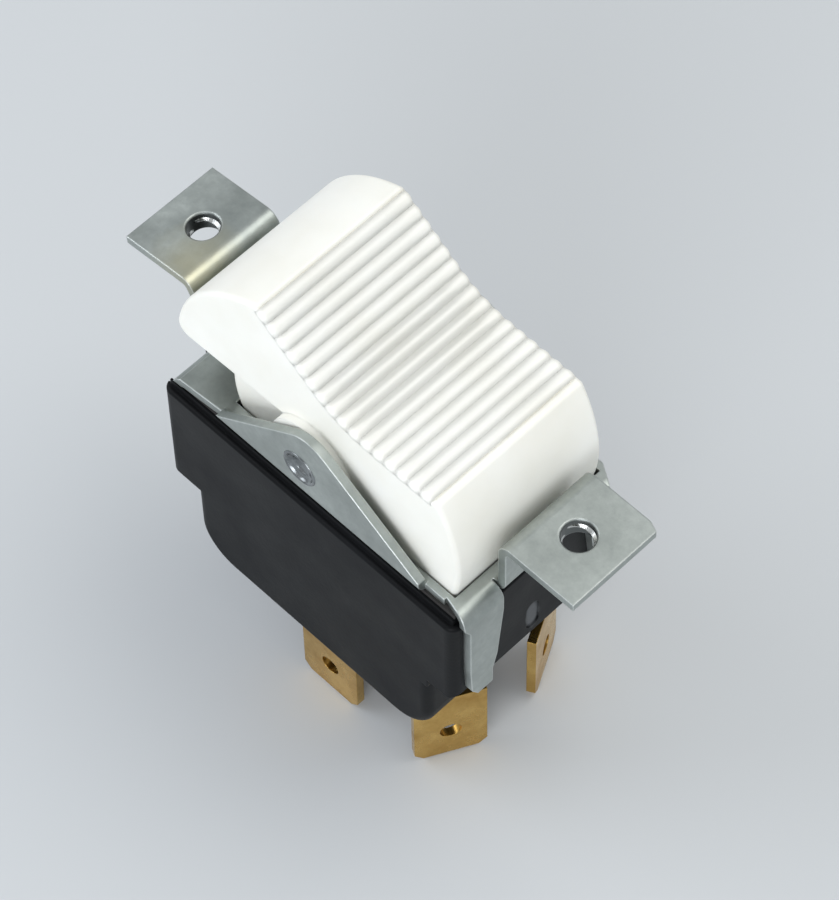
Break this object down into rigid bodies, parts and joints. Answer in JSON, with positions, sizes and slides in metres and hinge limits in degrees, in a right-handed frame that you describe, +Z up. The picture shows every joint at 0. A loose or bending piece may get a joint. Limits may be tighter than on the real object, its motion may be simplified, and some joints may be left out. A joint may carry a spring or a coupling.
{
  "type": "bracket-mounted rocker switch",
  "caption": "Rocker switch with a ribbed white rocker in a folded steel bracket, black housing and quick-connect blades; it switches two circuits on and off together.",
  "frame": {"origin": "centre of the footprint at the terminal tips, midway between the outer ends of the two bracket ears", "axes": "+X along the switch towards the end of the rocker that is pressed down, +Y across it, +Z up out of the panel through the level ear's tapped hole"},
  "size_m": [0.0494, 0.0194, 0.0502],
  "materials": {
    "zinc_steel": "zinc plated, lightly worn",
    "black_phenolic": "moulded, satin",
    "fibre": "vulcanised fibre",
    "white_nylon": "moulded, satin",
    "black_nylon": "moulded",
    "spring_steel": "drawn wire",
    "brass": "rolled",
    "silver_contact": "silver alloy",
    "rivet_steel": "nickel plated"
  },
  "bodies": {
    "base": {"mounting_bracket": "zinc_steel", "housing": "black_phenolic", "insulator_sheet": "fibre", "near_fixed_contact": "silver_contact", "near_common_terminal": "brass", "near_line_terminal": "brass", "near_common_rivet": "rivet_steel", "near_line_rivet": "rivet_steel", "far_fixed_contact": "silver_contact", "far_common_terminal": "brass", "far_line_terminal": "brass", "far_common_rivet": "rivet_steel", "far_line_rivet": "rivet_steel"},
    "rocker": {"rocker": "white_nylon", "near_plunger_spring": "spring_steel", "far_plunger_spring": "spring_steel"},
    "near_plunger": {"near_plunger": "black_nylon"},
    "far_plunger": {"far_plunger": "black_nylon"},
    "near_arm": {"near_contact_arm": "brass", "near_moving_contact": "silver_contact"},
    "far_arm": {"far_contact_arm": "brass", "far_moving_contact": "silver_contact"}
  },
  "joints": [
    {"name": "rocker_hinge", "type": "hinge", "parent": "base", "child": "rocker", "pos_m": [0, 0, 0.0357], "axis": [0, 1, 0], "range_deg": [-12.3, 0]},
    {"name": "near_plunger_slide", "type": "slide", "parent": "rocker", "child": "near_plunger", "axis": [0.1071, 0, 0.9942], "range_m": [0, 0.0006], "stiffness_N_per_m": 300, "springref_m": -0.002, "deforming": ["near_plunger_spring"]},
    {"name": "far_plunger_slide", "type": "slide", "parent": "rocker", "child": "far_plunger", "axis": [0.1071, 0, 0.9942], "range_m": [0, 0.0006], "stiffness_N_per_m": 300, "springref_m": -0.002, "deforming": ["far_plunger_spring"]},
    {"name": "near_arm_hinge", "type": "hinge", "parent": "base", "child": "near_arm", "pos_m": [0, -0.0046, 0.0149], "axis": [0, 1, 0], "range_deg": [0, 12.3]},
    {"name": "far_arm_hinge", "type": "hinge", "parent": "base", "child": "far_arm", "pos_m": [0, 0.0046, 0.0149], "axis": [0, 1, 0], "range_deg": [0, 12.3]}
  ],
  "couplings": [
    {"joint": "near_arm_hinge", "follows": "rocker_hinge", "ratio": -1},
    {"joint": "far_arm_hinge", "follows": "rocker_hinge", "ratio": -1}
  ]
}
